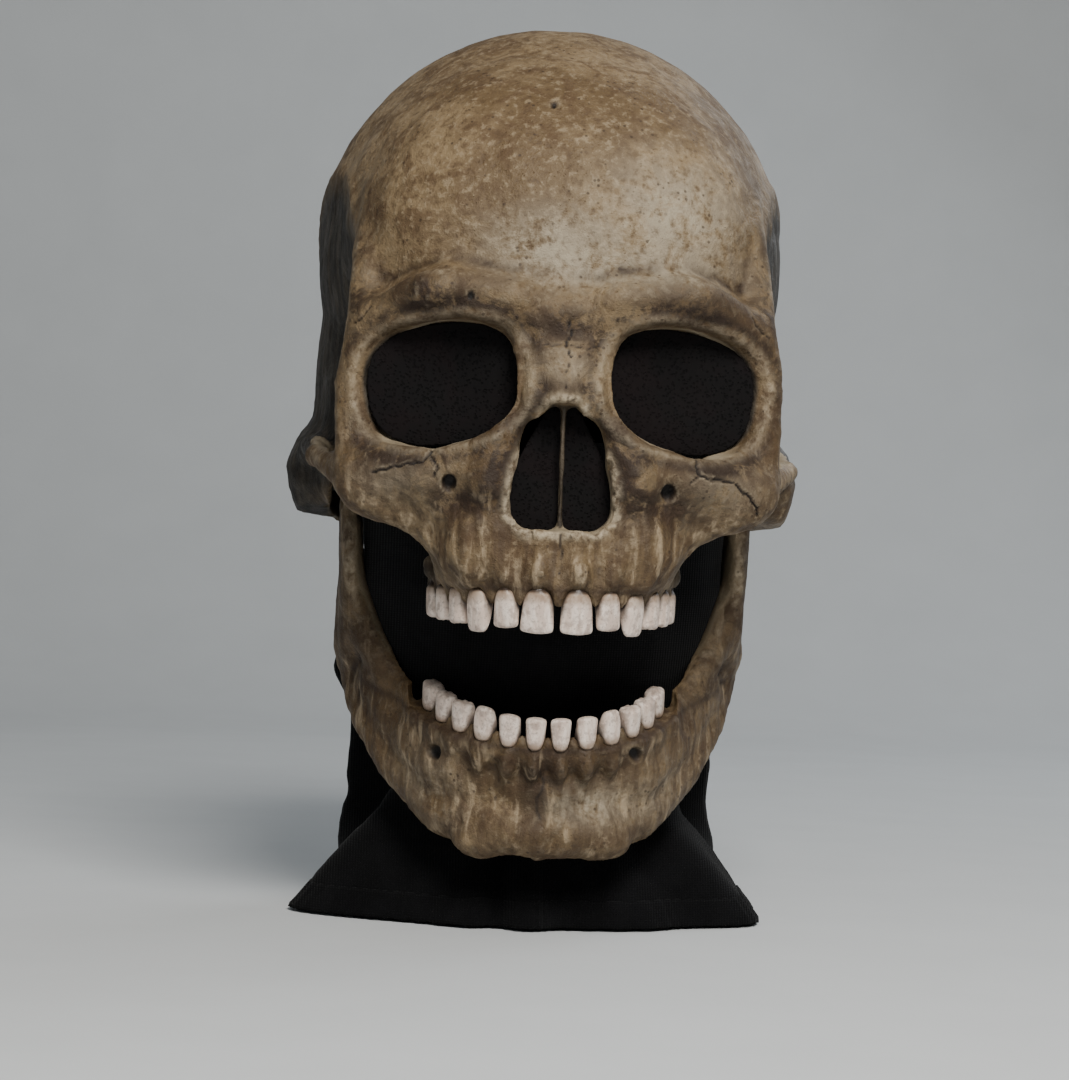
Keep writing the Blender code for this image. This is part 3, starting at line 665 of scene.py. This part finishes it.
def cranium():
    teeth = [t for t in TEETH if t.upper]
    bm = closed_copy("cranium_shell")
    for tooth in teeth:
        out = np.array([math.sin(tooth.heading), -math.cos(tooth.heading)])
        along = np.array([math.cos(tooth.heading), math.sin(tooth.heading)])
        for side in (-1, 1):
            x, y = tooth.front() - out * 3.4 + along * side * (tooth.size[0] / 2 + 1.0)
            blob(bm, (x, y, GUM_Z + 0.5), (2.8, 2.9, 8.0))
        x, y = tooth.front() - out * 2.4
        wide = min(4.4, tooth.size[0] / 2)
        blob(bm, (x, y, GUM_Z + 6.5), (wide, wide, 6.2))
    obj = remeshed(from_bmesh("skull_cranium", bm), 1.75, 10)
    refine(obj, lambda m: (m[:, 1] < -68) & (np.abs(m[:, 0]) < 90) & (m[:, 2] < 66) & (m[:, 2] > -60))
    points, normals = points_of(obj)
    edges = edges_of(obj)

    centre = np.array([0, 10, 50.0])
    outward = np.einsum("ij,ij->i", points - centre, normals)
    outside = smoothstep(-0.05, 0.15, outward / np.linalg.norm(points - centre, axis=1))
    x, y, z = points.T
    facing = smoothstep(0.05, 0.45, -normals[:, 1]) * smoothstep(-45, -62, y)
    depth, dark = front_cracks(points, facing)

    move = np.zeros(len(points))
    level = eye_level(points)
    rim = np.exp(-((level - 1.10) / 0.07) ** 2) * facing
    move += 0.9 * rim
    nose = nose_edge(points)
    lip = np.exp(-((nose - 1.6) / 1.7) ** 2) * facing * (nose > -0.5)
    chips = smoothstep(0.45, 0.70, value_noise(points, 3.4, 9))
    move += lip * (1.1 - 1.3 * chips)
    roots = tooth_at(points, teeth, ROOT_REACH)
    fade = smoothstep(GUM_Z + 30, GUM_Z + 8, z) * smoothstep(GUM_Z - 6, GUM_Z + 1, z) * facing
    move += fade * (1.5 * roots - 0.7)
    side, ring = temple(points)
    hollow = side * smoothstep(1.0, 0.72, ring) * outside
    line = side * np.exp(-((ring - 1.03) / 0.05) ** 2) * outside
    move += 0.9 * line - 2.4 * hollow
    knob = np.exp(-(np.hypot(x + 52, z - 60) / 5.0) ** 2) * facing
    arch = 58 + 3.5 * np.cos((np.abs(x) - 40) / 17)
    brow_ridge = facing * 2.2 * np.exp(-((z - arch - 3) / 5.5) ** 2)
    move += brow_ridge * smoothstep(8, 20, np.abs(x)) * smoothstep(74, 58, np.abs(x))
    valley = np.abs(x) - np.interp(z, [8, 30, 46], [21, 16, 14])
    move -= facing * 1.3 * np.exp(-(valley / 2.6) ** 2) * smoothstep(2, 12, z) * smoothstep(52, 42, z)
    move -= facing * 1.6 * np.exp(-((x / 15) ** 2 + ((z - 47) / 5) ** 2))
    move += knob * (1.6 + 3.0 * (fractal(points, 4, 3, 4) - 0.5))
    furrow = fractal(points, (4, 4, 26), 3, 2) - 0.5
    upper_jaw = facing * smoothstep(-8, -22, z) * smoothstep(16, 22, np.abs(x) + 10)
    move += upper_jaw * 1.6 * furrow
    bony = fractal(points, 11, 4, 1) - 0.5
    rough_zone = 0.35 + 0.65 * smoothstep(70, 30, z)
    move += outside * bony * (0.55 + 1.1 * rough_zone * smoothstep(-20, -60, y))
    move += outside * 0.5 * (fractal(points, 2.6, 2, 6) - 0.5) * rough_zone
    move += side * outside * smoothstep(1.1, 0.9, ring) * 1.2 * (fractal(points, (4, 4, 30), 3, 8) - 0.5)
    move -= depth
    points = points + normals * move[:, None]
    set_points(obj, points)

    _, bent = points_of(obj)
    small, large = relief(points, bent, edges, 5), relief(points, bent, edges, 40)
    cavity = smoothstep(0.05, 0.42, -small) * 0.80 + smoothstep(0.25, 1.9, -large) * 0.75
    around_gum = smoothstep(3.0, -1.5, np.abs(z - GUM_Z)) * facing
    # Painted shadow above and below each eye socket, carried in the cavity layer.
    shadow = 0.45 * smoothstep(1.28, 1.0, level) * facing * smoothstep(-6, 18, np.abs(z - 30))
    ridge = smoothstep(0.08, 0.45, small) * 0.6 + smoothstep(0.7, 2.2, large) * 0.35
    ridge = ridge + rim * 0.45 + lip * 0.9
    # Painted highlight with lighter paint: forehead right of centre, cheekbones, nose bridge and nose rim.
    patch = np.exp(-(((x - 40) / 28) ** 2 + ((z - 94) / 22) ** 2))
    patch2 = np.exp(-(((x + 8) / 24) ** 2 + ((z - 80) / 14) ** 2))
    patch2 = patch2 + 0.7 * np.exp(-(((x - 25) / 38) ** 2 + ((z - 71) / 7) ** 2))
    cheeks = np.exp(-(((np.abs(x) - 62) / 16) ** 2 + ((z + 8) / 9) ** 2))
    bridge = np.exp(-((x / 12) ** 2 + ((z - 34) / 9) ** 2))
    pale = np.clip(1.0 * patch + 0.9 * patch2 + 0.5 * cheeks + 0.5 * bridge + 0.25 * lip, 0, 1) * facing
    brow = np.exp(-(((np.abs(x) - 50) / 26) ** 2 + ((z - 60) / 8) ** 2))
    glabella = np.exp(-((x / 20) ** 2 + ((z - 50) / 9) ** 2))
    beside_nose = np.exp(-(((np.abs(x) - 24) / 9) ** 2 + ((z + 2) / 22) ** 2))
    fossa = np.exp(-(((np.abs(x) - 40) / 15) ** 2 + ((z + 17) / 10) ** 2))
    low_jaw = facing * smoothstep(-34, -46, z) * 0.5
    # Painted shade on both cheeks under the eye sockets, stronger on the left.
    cheek_shade = np.exp(-(((np.abs(x) - 66) / 20) ** 2 + ((z + 1) / 11) ** 2)) * np.where(x < 0, 1.0, 0.8)
    rim_wash = np.exp(-((level - 1.24) / 0.10) ** 2)
    nose_side = np.exp(-((nose - 6) / 3.5) ** 2) * smoothstep(-24, -8, z)
    # Painted shade: the sides of the head darker at temple height.
    sides = smoothstep(62, 84, np.abs(x)) * smoothstep(30, 60, z) * 0.8
    stain = np.clip(0.8 * brow + 1.0 * glabella + 0.8 * beside_nose + 1.0 * fossa + 0.8 * cheek_shade
                    + 0.6 * rim_wash + 0.6 * nose_side + sides, 0, 1) * facing
    stain = np.clip(stain + low_jaw + 0.5 * knob, 0, 1)
    streak = np.clip(facing * smoothstep(-6, -24, z) + 0.5 * side * smoothstep(40, 0, z), 0, 1)
    back = smoothstep(20, 90, y)
    streak = np.clip(streak + 0.25 * back, 0, 1) * outside
    # Dark grey-black paint in the temple hollows; painted shade is added to the same layer below.
    dark_paint_and_shade = side * smoothstep(1.12, 0.80, ring) * outside
    # Painted shade over the ear and mastoid, much stronger on the left side.
    ear_shade = np.exp(-(((y - 24) / 26) ** 2 + ((z + 4) / 26) ** 2)) * smoothstep(80, 92, np.abs(x))
    dark_paint_and_shade = np.clip(dark_paint_and_shade + 1.6 * ear_shade * (x < 0) + 0.25 * ear_shade * (x > 0), 0, 0.95)
    # Painted shade: the walls inside the eye sockets and the nose opening near black, the septum a little
    # lighter.
    socket_shade = smoothstep(1.0, 0.93, level) * (y < -70) * (y > -112)
    nose_shade = smoothstep(0.2, -1.0, nose) * (y < -90)
    nose_shade = nose_shade * np.where(np.abs(x) < 3, 0.80, 0.93)
    # Painted shade over the back ends of the upper tooth rows and the gum there.
    row_end_shade = smoothstep(41, 50, np.abs(x)) * smoothstep(GUM_Z + 16, GUM_Z + 5, z) * (y < -30)
    dark_paint_and_shade = np.maximum(np.maximum(dark_paint_and_shade, 0.85 * row_end_shade), np.maximum(0.97 * socket_shade, nose_shade))
    paint(obj, cavity=np.clip(np.maximum(np.maximum(cavity, 0.8 * around_gum), shadow), 0, 0.95) * outside,
          ridge=np.clip(ridge, 0, 1) * outside * facing, crack=np.clip(dark, 0, 1), pale=pale, stain=stain,
          streak=streak, dark=dark_paint_and_shade, inside=1 - outside)
    return obj


MENTAL = ((-43, -113), (35, -111))


def mandible():
    teeth = [t for t in TEETH if not t.upper]
    bm = closed_copy("mandible_shell")
    bmesh.ops.rotate(bm, cent=(0, 0, 0), matrix=Matrix.Rotation(-JAW_OPEN, 3, "X"), verts=bm.verts)
    for tooth in teeth:
        out = np.array([math.sin(tooth.heading), -math.cos(tooth.heading)])
        along = np.array([math.cos(tooth.heading), math.sin(tooth.heading)])
        for side in (-1, 1):
            x, y = tooth.front() - out * 3.2 + along * side * (tooth.size[0] / 2 + 1.0)
            blob(bm, (x, y, LOWER_GUM_Z - 0.5), (2.4, 2.6, 6.6))
        x, y = tooth.front() - out * 2.4
        wide = min(4.2, tooth.size[0] / 2)
        blob(bm, (x, y, LOWER_GUM_Z - 6.5), (wide, wide, 6.0))
    obj = remeshed(from_bmesh("skull_mandible", bm), 1.4, 8)
    refine(obj, lambda m: m[:, 1] < -52)
    points, normals = points_of(obj)
    edges = edges_of(obj)
    x, y, z = points.T
    inward = np.stack([x, y - 10, np.zeros(len(x))], 1)
    outside = smoothstep(-0.1, 0.2, np.einsum("ij,ij->i", inward, normals) / np.linalg.norm(inward, axis=1))
    facing = smoothstep(0.05, 0.45, -normals[:, 1]) * smoothstep(-50, -70, y)
    hinge = smoothstep(12, 20, np.hypot(y, z))
    roots = tooth_at(points, teeth, ROOT_REACH)
    fade = smoothstep(LOWER_GUM_Z - 26, LOWER_GUM_Z - 8, z) * smoothstep(-74, -79, z) * outside
    move = fade * (1.4 * roots - 0.6)
    furrow = fractal(points, (4.5, 4.5, 30), 3, 3) - 0.5
    body = outside * smoothstep(-72, -84, z)
    move += body * 1.5 * furrow + outside * 1.1 * (fractal(points, 10, 4, 5) - 0.5)
    move += outside * 0.45 * (fractal(points, 2.4, 2, 6) - 0.5)
    ridge_line = np.exp(-((x - 1.5 * np.sin(z / 6)) / 1.8) ** 2) * facing * smoothstep(-92, -102, z)
    move += 0.7 * ridge_line
    rest = opened(points)
    flat = rest[:, [0, 2]]
    dark = np.zeros(len(points))
    for hx, hz in MENTAL:
        d = np.hypot(flat[:, 0] - hx, (flat[:, 1] - hz) * 0.8)
        dark = np.maximum(dark, smoothstep(2.9, 1.1, d) * facing)
    move -= 2.6 * dark
    wobble = np.stack([value_noise(points, 3, 1), value_noise(points, 3, 2)], 1) - 0.5
    seam = line_distance(flat + 1.5 * wobble, [(-2.5, -118), (-1, -124), (-3.5, -130), (-2, -136)])
    dark = np.maximum(dark, 0.7 * np.exp(-(seam / 0.6) ** 2) * facing)
    points = points + normals * (move * hinge)[:, None]
    set_points(obj, points)

    _, bent = points_of(obj)
    small, large = relief(points, bent, edges, 5), relief(points, bent, edges, 40)
    cavity = smoothstep(0.05, 0.42, -small) * 0.80 + smoothstep(0.25, 1.9, -large) * 0.70
    gum = smoothstep(3.2, -1.0, np.abs(z - LOWER_GUM_Z)) * outside * smoothstep(-30, -50, y)
    ridge = smoothstep(0.08, 0.45, small) * 0.6 + smoothstep(0.7, 2.2, large) * 0.4
    # Painted highlight on the right of the chin, with lighter patches on the jaw's flanks.
    chin = np.exp(-(((x - 15) / 15) ** 2 + ((rest[:, 2] + 131) / 8) ** 2))
    flank = np.exp(-(((np.abs(x) - 44) / 14) ** 2 + ((z + 104) / 16) ** 2))
    pale = np.clip(1.0 * chin + 0.45 * flank, 0, 1) * outside
    centre = np.exp(-(((x + 2) / 9) ** 2 + ((z + 96) / 13) ** 2))
    stain = 0.6 * smoothstep(-100, -82, z) + 0.7 * centre + 0.3 * smoothstep(-100, -118, z)
    stain = np.clip(stain, 0, 1) * outside
    streak = np.clip(0.9 * body + 0.7 * smoothstep(-60, -30, y), 0, 1) * outside
    inside = (1 - outside) * smoothstep(-60, -40, y)
    # Painted shade: the jaw darker towards its back, and its inner side near black.
    back = 0.55 * smoothstep(-20, 10, y) * outside
    inner_shade = smoothstep(0.5, 0.0, outside) * smoothstep(-74, -84, z) * 0.8
    paint(obj, cavity=np.clip(np.maximum(cavity, 0.8 * gum), 0, 0.95), ridge=np.clip(ridge, 0, 1) * outside,
          crack=np.clip(dark, 0, 1), pale=pale, stain=stain, streak=streak,
          dark=np.clip(np.maximum(back, inner_shade), 0, 0.95), inside=inside * 0.6)
    set_points(obj, opened(points))
    return obj


# ---------------------------------------------------------------- black mesh and fabric

def hood_point(z, angle, out=0.0):
    """Point on the hood: angle 0 is the front, 90 degrees the wearer's left, 180 the back."""
    heights = [row[0] for row in HOOD]
    columns = ([row[k] for row in HOOD] for k in (1, 2, 3, 4))
    half, half_behind, front, back = (float(np.interp(z, heights, column)) for column in columns)
    c, s = math.cos(angle), math.sin(angle)
    reach = (HOOD_SIDE_Y - front) if c > 0 else (back - HOOD_SIDE_Y)
    low = float(np.interp(z, (-60, -30), (1, 0)))
    start = 0.22 + 0.2 * low
    behind = float(np.interp(-c, (start, start + 0.2), (0, 1)))
    half += (half_behind - half) * behind
    width = (half + out) * abs(s) ** (1.7 if c > 0 else 0.8 - 0.2 * behind * low)
    return width if s > 0 else -width, HOOD_SIDE_Y - (reach + out) * c, z


def sheet_between(name, columns, rows, place, closed_ring=False):
    """A cloth grid of place(row share, column share)."""
    bm = bmesh.new()
    count = columns if closed_ring else columns + 1
    verts = [[bm.verts.new(Vector(place(i / rows, j / columns)) * MM) for j in range(count)]
             for i in range(rows + 1)]
    for upper, lower in zip(verts, verts[1:]):
        for j in range(columns):
            k = (j + 1) % count
            bm.faces.new((upper[j], lower[j], lower[k], upper[k]))
    return from_bmesh(name, bm)


def thicken(obj, thickness):
    skin = obj.modifiers.new("cloth", "SOLIDIFY")
    skin.thickness = thickness * MM
    skin.offset = 0
    return applied(obj)


def hood_cloth(name, top, bottom, first, last, columns, rows, ring=False, thickness=1.0, folds=1.0):
    """A hood panel with soft folds, deeper towards the shoulders."""
    def place(v, h):
        z = top + (bottom - top) * v
        angle = math.radians(first + (last - first) * h)
        return hood_point(z, angle)
    obj = sheet_between(name, columns, rows, place, ring)
    points, _ = points_of(obj)
    x, y, z = points.T
    around = np.arctan2(x, -y - 8)
    outward = np.stack([x, y + 8, np.zeros(len(x))], 1)
    outward /= np.linalg.norm(outward, axis=1)[:, None] + 1e-9
    low = smoothstep(-112, -160, z)
    wave = np.sin(around * 9 + 1.2 * np.sin(around * 4 + 1) + z / 40) * low * 2.6
    creases = (fractal(points, (60, 60, 9), 3, 2) - 0.5) * 4.2 * smoothstep(-96, -128, z)
    cloth = (fractal(points, (26, 26, 14), 3, 5) - 0.5) * 1.4 * smoothstep(6, -10, z)
    behind_jaw = smoothstep(20, 40, y)
    points += outward * (folds * (wave + creases * 0.7 + cloth * (0.6 + 0.8 * behind_jaw)))[:, None]
    beside = 2.5 * smoothstep(-12, -24, z) * smoothstep(-92, -70, z)
    beside = beside * smoothstep(40, 60, np.abs(x)) * (y < 10)
    behind = 9.0 * smoothstep(-34, -50, z) * smoothstep(-104, -84, z)
    behind = behind * smoothstep(15, 40, y) * smoothstep(100, 70, y)
    points[:, 0] += np.sign(x) * (beside + behind)
    set_points(obj, points)
    return thicken(obj, thickness)


def hood(knit):
    spans = (
        ("hood_face", "face_panel", 8, -119.2, -99, 99, 88, 64),
        ("hood_throat", "throat_panel", -118.2, -172.5, -99, 99, 88, 30),
        ("hood_neck", "neck_hood", 9, -172.5, 97.5, 262.5, 90, 90),
    )
    for name, node, top, bottom, first, last, columns, rows in spans:
        obj = hood_cloth(name, top, bottom, first, last, columns, rows)
        clothe(obj, knit, "cranium", "black_knit", node)
    band = hood_cloth("hood_hem", -171.0, -181.0, 0, 360, 220, 8, ring=True, thickness=2.0)
    points, normals = points_of(band)
    around = np.arctan2(points[:, 0], -points[:, 1])
    points += normals * (0.35 * np.sin(around * 120))[:, None]
    set_points(band, points)
    clothe(band, knit, "cranium", "black_knit", "hem_band")


def screen(node, name, swell, material):
    """A stretched mesh panel: the CAD plate grown a little into its frame and dished inwards."""
    low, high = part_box(node)
    middle = (low + high) / 2
    bm = closed_copy(node)
    obj = from_bmesh(name, bm)
    obj = remeshed(obj, 0.55 if "nose" in node else 0.6, 0)
    points, _ = points_of(obj)
    m = np.array(middle) / MM
    away = np.stack([points[:, 0] - m[0], points[:, 2] - m[2]], 1)
    half = np.array([high.x - low.x, high.z - low.z]) / 2 / MM
    share = np.clip(np.linalg.norm(away / half, axis=1), 0, 1.2)
    points[:, 0] += away[:, 0] * swell / half[0]
    points[:, 2] += away[:, 1] * swell / half[1]
    points[:, 1] += 2.0 * (1 - share ** 2) * smoothstep(0, 1, 1 - share)
    set_points(obj, points)
    clothe(obj, material, "cranium", "black_mesh", node)


# ---------------------------------------------------------------- padding and strap

def foam_pad(node, foam, body):
    bm = closed_copy(node)
    obj = remeshed(from_bmesh("foam_" + node, bm), 1.6, 5)
    points, normals = points_of(obj)
    points += normals * ((fractal(points, 8, 3, 3) - 0.5) * 0.7)[:, None]
    set_points(obj, points)
    clothe(obj, foam, body, "foam", node)


def strap(web):
    """The elastic band behind the head: a woven strip with thicker edges and a run of stitches."""
    half, reach, middle, low, high = 80.8, 99.8, 20.0, 22.0, 44.0
    start = math.asin(-19.0 / reach)
    span = math.pi - 2 * start

    def place(v, h):
        a = start + span * h
        edge = abs(2 * v - 1)
        grow = 0.25 * smoothstep(0.80, 0.95, edge) + 0.12 * math.sin(h * 900) * (edge < 0.85)
        return ((half + grow) * math.cos(a), middle + (reach + grow) * math.sin(a), high + (low - high) * v)
    obj = sheet_between("strap_band", 260, 16, place)
    thicken(obj, 1.3)
    clothe(obj, web, "cranium", "elastic_web", "head_strap")


# ---------------------------------------------------------------- stage, light and camera

def studio():
    s = Shader("pale_floor", roughness=0.8)
    colour = s.mix(s.noise(60, 3), (0.60, 0.62, 0.63), (0.66, 0.68, 0.69))
    s.finish(colour, None, s.bump(s.noise(2, 3), 0.1))
    floor_z = float(cad_box[0][2]) - 0.0005
    profile = [(-1.6, 0.0), (1.1, 0.0)]
    bend = np.linspace(0.15, math.pi / 2, 10)
    profile += [(1.1 + 0.5 * math.sin(a), 0.5 - 0.5 * math.cos(a)) for a in bend]
    profile += [(1.6, 2.6)]
    bm = bmesh.new()
    rows = [[bm.verts.new((x, y, floor_z + h)) for x in (-3.0, 3.0)] for y, h in profile]
    for a, b in zip(rows, rows[1:]):
        bm.faces.new((a[0], a[1], b[1], b[0]))
    floor = from_bmesh("floor", bm)
    floor.data.materials.append(s.material)
    floor.data.shade_smooth()

    world = bpy.data.worlds.new("soft_room")
    bpy.context.scene.world = world
    world.use_nodes = True
    world.node_tree.nodes["Background"].inputs["Color"].default_value = (0.80, 0.86, 0.90, 1)
    world.node_tree.nodes["Background"].inputs["Strength"].default_value = 0.13
    lights = (
        ("key", (0.22, -1.15, 0.92), 0.55, 27.0, (1.0, 0.97, 0.92)),
        ("fill", (-0.9, -1.3, 0.15), 1.20, 2.8, (0.92, 0.96, 1.0)),
        ("rim", (0.9, 0.9, 0.8), 0.90, 7.0, (0.90, 0.95, 1.0)),
    )
    for name, place, size, power, colour in lights:
        data = bpy.data.lights.new(name, "AREA")
        data.size, data.energy, data.color = size, power, colour
        lamp = bpy.data.objects.new(name, data)
        bpy.context.scene.collection.objects.link(lamp)
        lamp.location = place
        lamp.rotation_euler = (Vector((0, -0.05, 0.0)) - Vector(place)).to_track_quat("-Z", "Y").to_euler()


# Metres, degrees and millimetres.
CAMERA_DISTANCE = 1.10
CAMERA_TURN = -3.0
CAMERA_ROLL = 2.0
CAMERA_LENS = 99.1
CAMERA_TARGET = (-9.4, -116, -29.6)


def camera():
    turn, roll = math.radians(CAMERA_TURN), math.radians(CAMERA_ROLL)
    target = Vector(CAMERA_TARGET) * MM
    place = target + Vector((math.sin(turn), -math.cos(turn), 0)) * CAMERA_DISTANCE
    data = bpy.data.cameras.new("view")
    data.sensor_width = 36
    data.lens = CAMERA_LENS
    data.clip_start = 0.05
    made = bpy.data.objects.new("view", data)
    bpy.context.scene.collection.objects.link(made)
    look = (target - place).to_track_quat("-Z", "Y").to_matrix().to_4x4()
    made.matrix_world = Matrix.Translation(place) @ look @ Matrix.Rotation(roll, 4, "Z")
    bpy.context.scene.camera = made


# ---------------------------------------------------------------- assembly

GAUZE_OVERLAP = 0.9


def main():
    camera()
    studio()
    bone, enamel, knit = bone_material(), tooth_material(), knit_material()
    clothe(cranium(), bone, "cranium", "bone_latex", "cranium_shell")
    clothe(mandible(), bone, "jaw", "bone_latex", "mandible_shell")
    for seed, tooth in enumerate(TEETH):
        body = "cranium" if tooth.upper else "jaw"
        clothe(crown(tooth, seed), enamel, body, "tooth_enamel", tooth.name)
    gauze = mesh_material()
    for node in ("eye_mesh_left", "eye_mesh_right", "nose_mesh"):
        screen(node, node + "_gauze", GAUZE_OVERLAP, gauze)
    hood(knit)
    foam = foam_material()
    for node in ("forehead_pad", "crown_pad", "occipital_pad", "temple_pad_left", "temple_pad_right"):
        foam_pad(node, foam, "cranium")
    foam_pad("chin_cup", foam, "jaw")
    strap(web_material())
    nylon, steel = nylon_material(), steel_material()
    for name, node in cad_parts.items():
        if node.hide_render:
            continue
        finish = steel if "screw" in name else nylon
        node.data.materials.clear()
        node.data.materials.append(finish)


main()
